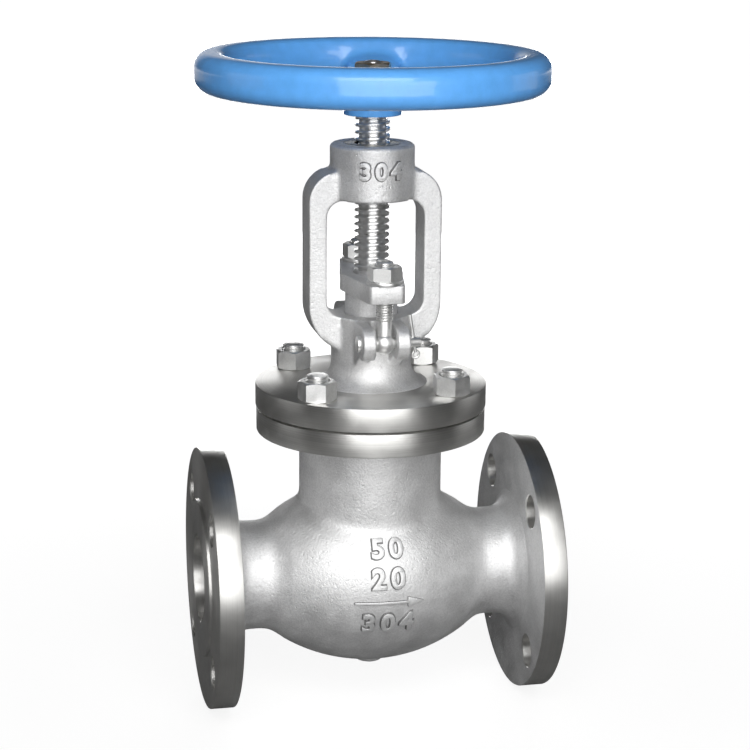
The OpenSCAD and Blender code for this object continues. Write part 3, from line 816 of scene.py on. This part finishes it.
class VALVE_OT_studs_and_nuts(bpy.types.Operator):
    """Thread the bonnet studs and chamfer their nuts"""
    bl_idname = "valve.studs_and_nuts"
    bl_label = "Bonnet studs and nuts"

    def execute(self, context):
        pitch = context.scene.valve_sizes.stud_pitch
        base = low("bonnet_studs", 2)
        end = high("bonnet_studs", 2)
        nut_top = high("bonnet_nuts", 2)
        crest = STUD_R
        root = crest - 0.55 * pitch
        studs = []
        nuts = []
        for turn in QUARTERS:
            angle = math.radians(turn)
            spot = FOOT + Vector((math.cos(angle), math.sin(angle), 0)) * STUD_CIRCLE_MM * MM
            studs.append(rod(root, base, nut_top - 1.5 * MM, spot))
            studs.append(screw(crest, root, pitch, nut_top - 2 * MM, end - 0.9 * MM, spot))
            tip = [(0, end - MM), (crest - 0.1 * MM, end - MM), (crest - 0.5 * MM, end - 0.4 * MM),
                   (0.6 * crest, end), (0, end)]
            studs.append(lathe(tip, spot, steps=40, loop=False))
            twist = math.radians(turn + (0 if turn == 225 else 12))
            seat = spot + Z_AXIS * NUT_LOW
            nuts.append(nut(19 * MM, nut_top - NUT_LOW, crest + 0.15 * MM, seat, twist))
        steel = finish("bright")
        add_piece("studs_threaded", joined(*studs), steel, "valve", ("bonnet_studs",), 40)
        add_piece("nuts_chamfered", joined(*nuts), steel, "valve", ("bonnet_nuts",), 20)
        return {"FINISHED"}


# Gland

BOLT_Y = 35.5 * MM
EYE_R = 6.4 * MM


class VALVE_OT_gland(bpy.types.Operator):
    """Round the cast gland flange and its follower and lay the washers and nuts on it"""
    bl_idname = "valve.gland"
    bl_label = "Gland"

    def execute(self, context):
        bm = tidy_copy("gland_flange", 1.3 * MM, 50)
        add_piece("gland_flange_cast", bm, finish("cast"), "valve", ("gland_flange",), 40)
        bm = tidy_copy("gland_follower", 0.6 * MM, 50)
        add_piece("gland_follower_turned", bm, finish("cast"), "valve", ("gland_follower",))
        bm = tidy_copy("gland_washers", 0.3 * MM, 50)
        add_piece("gland_washers_flat", bm, finish("bright"), "valve", ("gland_washers",))
        base = low("gland_nuts", 2)
        tall = high("gland_nuts", 2) - base
        nuts = []
        for side in (-1, 1):
            spot = FOOT + Vector((0, side * BOLT_Y, base))
            nuts.append(nut(17 * MM, tall, 5.1 * MM, spot, math.radians(38)))
        add_piece("gland_nuts_chamfered", joined(*nuts), finish("bright"), "valve",
                  ("gland_nuts",), 20)
        return {"FINISHED"}


class VALVE_OT_eye_bolts(bpy.types.Operator):
    """Thread the two hinged eye bolts above their round eyes"""
    bl_idname = "valve.eye_bolts"
    bl_label = "Eye bolts"

    def execute(self, context):
        pitch = context.scene.valve_sizes.gland_pitch
        crest = 4.95 * MM
        root = crest - 0.5 * pitch
        for node, side in (("eye_bolt_front", -1), ("eye_bolt_rear", 1)):
            spot = FOOT + Vector((0, side * BOLT_Y, 0))
            end = high(node, 2)
            pin = low(node, 2) + EYE_R
            eye = bmesh.new()
            bmesh.ops.create_uvsphere(eye, u_segments=40, v_segments=24, radius=EYE_R)
            bmesh.ops.translate(eye, verts=eye.verts, vec=spot + Z_AXIS * pin)
            for way in (-1, 1):
                slice_off(eye, spot + X_AXIS * way * 4.1 * MM, X_AXIS * way)
            soften(eye, 0.5 * MM, 40)
            plain = 4.4 * MM
            shank = lathe([(0, pin + 2 * MM), (plain, pin + 2 * MM), (plain, pin + 12.6 * MM),
                           (root, pin + 13.4 * MM), (0, pin + 13.4 * MM)], spot, steps=40, loop=False)
            thread = screw(crest, root, pitch, pin + 13 * MM, end - 0.8 * MM, spot)
            tip = lathe([(0, end - 0.9 * MM), (crest - 0.1 * MM, end - 0.9 * MM),
                         (crest - 0.6 * MM, end - 0.3 * MM), (0.55 * crest, end), (0, end)],
                        spot, steps=40, loop=False)
            add_piece(node + "_threaded", joined(eye, shank, thread, tip), finish("bright"), "valve",
                      (node,), 40)
        return {"FINISHED"}


class VALVE_OT_pins_and_cotters(bpy.types.Operator):
    """Round the hinge pins and take their split pins over from the CAD frame"""
    bl_idname = "valve.pins_and_cotters"
    bl_label = "Hinge pins and cotters"

    def execute(self, context):
        steel = finish("bright")
        for end in ("front", "rear"):
            pin, cotter = "hinge_pin_" + end, "cotter_" + end
            bm = tidy_copy(pin, 0.5 * MM, 60)
            add_piece(pin + "_turned", bm, steel, "valve", (pin,))
            bm = tidy_copy(cotter, 0)
            add_piece(cotter + "_bent", bm, steel, "valve", (cotter,), 50)
        return {"FINISHED"}


# Stem and handwheel

class VALVE_OT_stem(bpy.types.Operator):
    """Turn the stem and cut its rising thread"""
    bl_idname = "valve.stem"
    bl_label = "Stem"

    def execute(self, context):
        lead = context.scene.valve_sizes.stem_lead
        r = 10 * MM
        base = low("stem", 2)
        end = high("stem", 2)
        collar = 70.7 * MM
        start = 180 * MM
        wheel = low("handwheel", 2)
        stop = wheel - 0.2 * MM
        head_r, head_top = 12.5 * MM, base + 8 * MM
        collar_r, collar_top = 14 * MM, collar + 7 * MM
        shaft = lathe([(0, base), (head_r, base), (head_r, head_top), (r, head_top), (r, collar),
                       (collar_r, collar), (collar_r, collar_top - 2 * MM), (collar_r - 2 * MM, collar_top),
                       (r, collar_top), (r, start), (0, start)], steps=72, loop=False)
        root = 7.75 * MM
        thread = screw(r, root, lead, start - 0.2 * MM, stop - 0.4 * MM, steps=48, flanks=STEM_FLANKS,
                       run_in=1.4)
        land = rod(root, stop - MM, wheel, FOOT)
        square = bmesh.new()
        across = 14 * MM
        bmesh.ops.create_cube(square, size=across)
        bmesh.ops.translate(square, verts=square.verts, vec=FOOT + Z_AXIS * (wheel + across / 2))
        tip_r, tip_low = 5 * MM, wheel + 10 * MM
        tip = lathe([(0, tip_low), (tip_r, tip_low), (tip_r, end - 1.3 * MM),
                     (tip_r - 0.6 * MM, end - 0.5 * MM), (2.6 * MM, end - 0.1 * MM), (0, end)],
                    steps=48, loop=False)
        add_piece("stem_threaded", joined(shaft, thread, land, square, tip), finish("stem"),
                  "stem_and_wheel", ("stem",), 75)
        return {"FINISHED"}


class VALVE_OT_handwheel(bpy.types.Operator):
    """Cast the handwheel's rim, three spokes and hub in one skin and enamel it"""
    bl_idname = "valve.handwheel"
    bl_label = "Handwheel"

    def execute(self, context):
        base = low("handwheel", 2)
        top = high("handwheel", 2)
        rim = (high("handwheel", 0) - low("handwheel", 0)) / 2
        wide = 20 * MM
        tall = 22 * MM
        middle = rim - wide / 2
        inside, under = rim - wide, top - tall
        ring = lathe([(inside, under), (rim, under), (rim, top), (inside, top)], steps=160)
        soften(ring, 8 * MM, 35, 8)
        hub_r, hub_top = 16.5 * MM, base + 20 * MM
        hub = soften(rod(hub_r, base, hub_top, FOOT, steps=96), 0.6 * MM)
        core = rod(hub_r - 0.9 * MM, base + 4 * MM, hub_top - 0.5 * MM, FOOT, steps=64)
        spoke_run, spoke_rise = middle - 6 * MM, 9 * MM
        spokes = []
        for turn in (78, 198, 318):
            bm = bmesh.new()
            bmesh.ops.create_cone(bm, cap_ends=True, segments=32, radius1=11.5 * MM, radius2=18.5 * MM,
                                  depth=spoke_run)
            bmesh.ops.scale(bm, vec=(0.36, 1, 1), verts=bm.verts)
            tilt = math.atan2(spoke_rise, spoke_run)
            mid = Vector((8 * MM + spoke_run / 2, 0, base + 12 * MM + spoke_rise / 2))
            place = (Matrix.Translation(FOOT) @ Matrix.Rotation(math.radians(turn), 4, "Z")
                     @ Matrix.Translation(mid) @ Matrix.Rotation(math.pi / 2 - tilt, 4, "Y"))
            bmesh.ops.transform(bm, verts=bm.verts, matrix=place)
            spokes.append(bm)
        bm = remeshed(joined(ring, core, *spokes), context.scene.valve_sizes.wheel_grain)
        smoothed(bm, 3)

        def in_hub_cove(p):
            return 15 * MM < math.hypot(p.x, p.y) < 27 * MM and base + 8 * MM < p.z < hub_top

        def in_rim_cove(p):
            return 64 * MM < math.hypot(p.x, p.y) < 82.5 * MM

        smoothed(bm, 25, in_hub_cove)
        smoothed(bm, 90, in_rim_cove)
        add_piece("handwheel_enamelled", joined(bm, hub), finish("paint"), "stem_and_wheel",
                  ("handwheel",), 60)
        return {"FINISHED"}


class VALVE_OT_wheel_nut(bpy.types.Operator):
    """Fit the washer and the nut that hold the handwheel, both in steel with a painted warm reflection"""
    bl_idname = "valve.wheel_nut"
    bl_label = "Wheel nut"

    def execute(self, context):
        # Washer and nut take the steel with the painted warm reflection
        steel = finish("warm_reflection")
        bm = tidy_copy("wheel_washer", 0.3 * MM, 50)
        add_piece("wheel_washer_flat", bm, steel, "stem_and_wheel", ("wheel_washer",))
        base = low("wheel_nut", 2)
        tall = high("wheel_nut", 2) - base
        bm = nut(19 * MM, tall, 5.05 * MM, FOOT + Z_AXIS * base, math.radians(10))
        add_piece("wheel_nut_chamfered", bm, steel, "stem_and_wheel", ("wheel_nut",), 20)
        return {"FINISHED"}


class VALVE_OT_inner_parts(bpy.types.Operator):
    """Give the seat, disc, bushes and packing inside the valve their finishes"""
    bl_idname = "valve.inner_parts"
    bl_label = "Inner parts"

    def execute(self, context):
        wanted = {
            "seat_ring": "stem", "disc": "stem", "disc_nut": "stem", "packing_washer": "stem",
            "disc_thrust_ring": "bronze", "backseat_bush": "bronze", "packing_rings": "graphite",
            "stem_nut": "bronze",
        }
        for node, name in wanted.items():
            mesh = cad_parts[node].data
            mesh.materials.clear()
            mesh.materials.append(finish(name))
        return {"FINISHED"}


# Stage

# Name, place, width and height of each soft box in metres, and its watts
LAMPS = (
    ("front_box", (0.02, -1.5, 0.42), 1.7, 0.9, 16),
    ("key_box", (-0.1, -1.1, 1.1), 1.1, 0.6, 10.5),
    ("back_box", (0.42, 1.5, 0.14), 1.0, 0.4, 7.5),
    ("right_box", (1.75, 0.25, 0.3), 0.9, 0.7, 1.3),
    ("left_box", (-1.45, 0.2, 0.45), 0.9, 0.7, 1.2),
)
LAMP_TARGET = Vector((STEM_X, 0, 0.11))
SURROUND_LEVEL = 0.055


class VALVE_OT_stage(bpy.types.Operator):
    """Set the floor, the soft lights, the white surround and the camera"""
    bl_idname = "valve.stage"
    bl_label = "Stage"

    def execute(self, context):
        self.floor()
        self.surround(context.scene)
        for lamp in LAMPS:
            self.softbox(*lamp)
        self.camera(context.scene)
        context.scene.view_settings.view_transform = "Standard"
        return {"FINISHED"}

    def floor(self):
        """A pale floor that the camera sees as white, darker only where the object's shadow falls."""
        bm = bmesh.new()
        bmesh.ops.create_grid(bm, x_segments=2, y_segments=2, size=6)
        bmesh.ops.translate(bm, verts=bm.verts, vec=(STEM_X, 0, CAD_BOX[0][2] - 0.05 * MM))
        mesh = bpy.data.meshes.new("studio_floor")
        bm.to_mesh(mesh)
        bm.free()
        f = Finish("studio_floor")
        tint = bpy.context.scene.valve_colours.floor
        f.tone(f.noise(3, 2), shade(tint, 0.99), shade(tint, 1.01))
        f.shader.inputs["Roughness"].default_value = 0.8
        glow = f.node("ShaderNodeEmission")
        reach = f.node("ShaderNodeVectorMath", operation="DISTANCE")
        f.link(f.place, reach.inputs[0])
        reach.inputs[1].default_value = (STEM_X, 0, CAD_BOX[0][2])
        f.link(f.span(reach.outputs["Value"], 0.2, 1.0, 0.86, 1.0), glow.inputs["Strength"])
        path = f.node("ShaderNodeLightPath")
        split = f.node("ShaderNodeSeparateXYZ")
        f.link(f.place, split.inputs["Vector"])
        behind = f.span(split.outputs["Y"], 2.2, 4, 0, 1)
        shine = f.combine(path.outputs["Is Glossy Ray"], behind, "MULTIPLY")
        direct = f.combine(path.outputs["Is Camera Ray"], path.outputs["Is Transmission Ray"])
        seen = f.combine(direct, shine)
        veil = f.node("ShaderNodeMixShader")
        f.link(seen, veil.inputs["Fac"])
        both = f.node("ShaderNodeAddShader")
        f.link(f.shader.outputs["BSDF"], both.inputs[0])
        f.link(glow.outputs["Emission"], both.inputs[1])
        f.link(f.shader.outputs["BSDF"], veil.inputs[1])
        f.link(both.outputs["Shader"], veil.inputs[2])
        out = f.tree.nodes["Material Output"]
        f.link(veil.outputs["Shader"], out.inputs["Surface"])
        mesh.materials.append(f.material)
        floor = bpy.data.objects.new("studio_floor", mesh)
        bpy.context.scene.collection.objects.link(floor)

    def surround(self, scene):
        """White behind the object for the camera and for reflections, dim grey elsewhere."""
        world = bpy.data.worlds.new("studio")
        world.use_nodes = True
        scene.world = world
        w = NodeWork(world.node_tree)
        path = w.node("ShaderNodeLightPath")
        split = w.node("ShaderNodeSeparateXYZ")
        w.link(w.node("ShaderNodeTexCoord").outputs["Generated"], split.inputs["Vector"])
        behind = w.span(split.outputs["Y"], 0.95, 1, 0, 1)
        shine = w.combine(path.outputs["Is Glossy Ray"], behind, "MULTIPLY")
        seen = w.combine(path.outputs["Is Camera Ray"], shine, "MAXIMUM")
        clear = w.combine(seen, path.outputs["Is Transmission Ray"], "MAXIMUM")
        back = w.tree.nodes["Background"]
        back.inputs["Color"].default_value = (1, 1, 1, 1)
        w.link(w.span(clear, 0, 1, SURROUND_LEVEL, 1), back.inputs["Strength"])

    def softbox(self, name, place, width, height, power):
        lamp = bpy.data.lights.new(name, "AREA")
        lamp.shape = "RECTANGLE"
        lamp.size = width
        lamp.size_y = height
        lamp.energy = power
        obj = bpy.data.objects.new(name, lamp)
        obj.location = place
        obj.rotation_euler = (LAMP_TARGET - Vector(place)).to_track_quat("-Z", "Y").to_euler()
        bpy.context.scene.collection.objects.link(obj)

    def camera(self, scene):
        """The camera at the photograph's angle, from a fit to the end flanges."""
        turn, tip, roll = 0.21227824, 0.24671039, 0.008236227
        ahead = Vector((math.sin(turn) * math.cos(tip), math.cos(turn) * math.cos(tip), -math.sin(tip)))
        flat = Vector((math.cos(turn), -math.sin(turn), 0))
        over = flat.cross(ahead)
        right = flat * math.cos(roll) + over * math.sin(roll)
        up = over * math.cos(roll) - flat * math.sin(roll)
        lens = bpy.data.cameras.new("photo_camera")
        lens.sensor_width = 36
        lens.lens = 101.4055
        lens.clip_end = 50
        eye = bpy.data.objects.new("photo_camera", lens)
        turned = Matrix((right, up, -ahead)).transposed().to_4x4()
        eye.matrix_world = Matrix.Translation((STEM_X - 0.247125, -1.158618, 0.415443)) @ turned
        scene.collection.objects.link(eye)
        scene.camera = eye


STEPS = (
    VALVE_OT_stage, VALVE_OT_body_casting, VALVE_OT_end_flanges, VALVE_OT_raised_figures,
    VALVE_OT_top_flange, VALVE_OT_yoke_casting, VALVE_OT_bonnet_flange, VALVE_OT_studs_and_nuts,
    VALVE_OT_gland, VALVE_OT_eye_bolts, VALVE_OT_pins_and_cotters, VALVE_OT_stem, VALVE_OT_handwheel,
    VALVE_OT_wheel_nut, VALVE_OT_inner_parts,
)


class VALVE_PT_panel(bpy.types.Panel):
    """Sizes, colours and building steps of the valve"""
    bl_idname = "VALVE_PT_panel"
    bl_label = "Globe valve"
    bl_space_type = "VIEW_3D"
    bl_region_type = "UI"
    bl_category = "Valve"

    def draw(self, context):
        scene = context.scene
        for group in (scene.valve_sizes, scene.valve_colours):
            column = self.layout.column()
            for key in group.__annotations__:
                column.prop(group, key)
        for step in STEPS:
            self.layout.operator(step.bl_idname)


CLASSES = (ValveSizes, ValveColours) + STEPS + (VALVE_PT_panel,)


def register():
    for cls in CLASSES:
        bpy.utils.register_class(cls)
    bpy.types.Scene.valve_sizes = bpy.props.PointerProperty(type=ValveSizes)
    bpy.types.Scene.valve_colours = bpy.props.PointerProperty(type=ValveColours)


def unregister():
    del bpy.types.Scene.valve_colours
    del bpy.types.Scene.valve_sizes
    for cls in reversed(CLASSES):
        bpy.utils.unregister_class(cls)


def main():
    register()
    for step in STEPS:
        group, name = step.bl_idname.split(".")
        getattr(getattr(bpy.ops, group), name)()


if __name__ == "__main__":
    main()
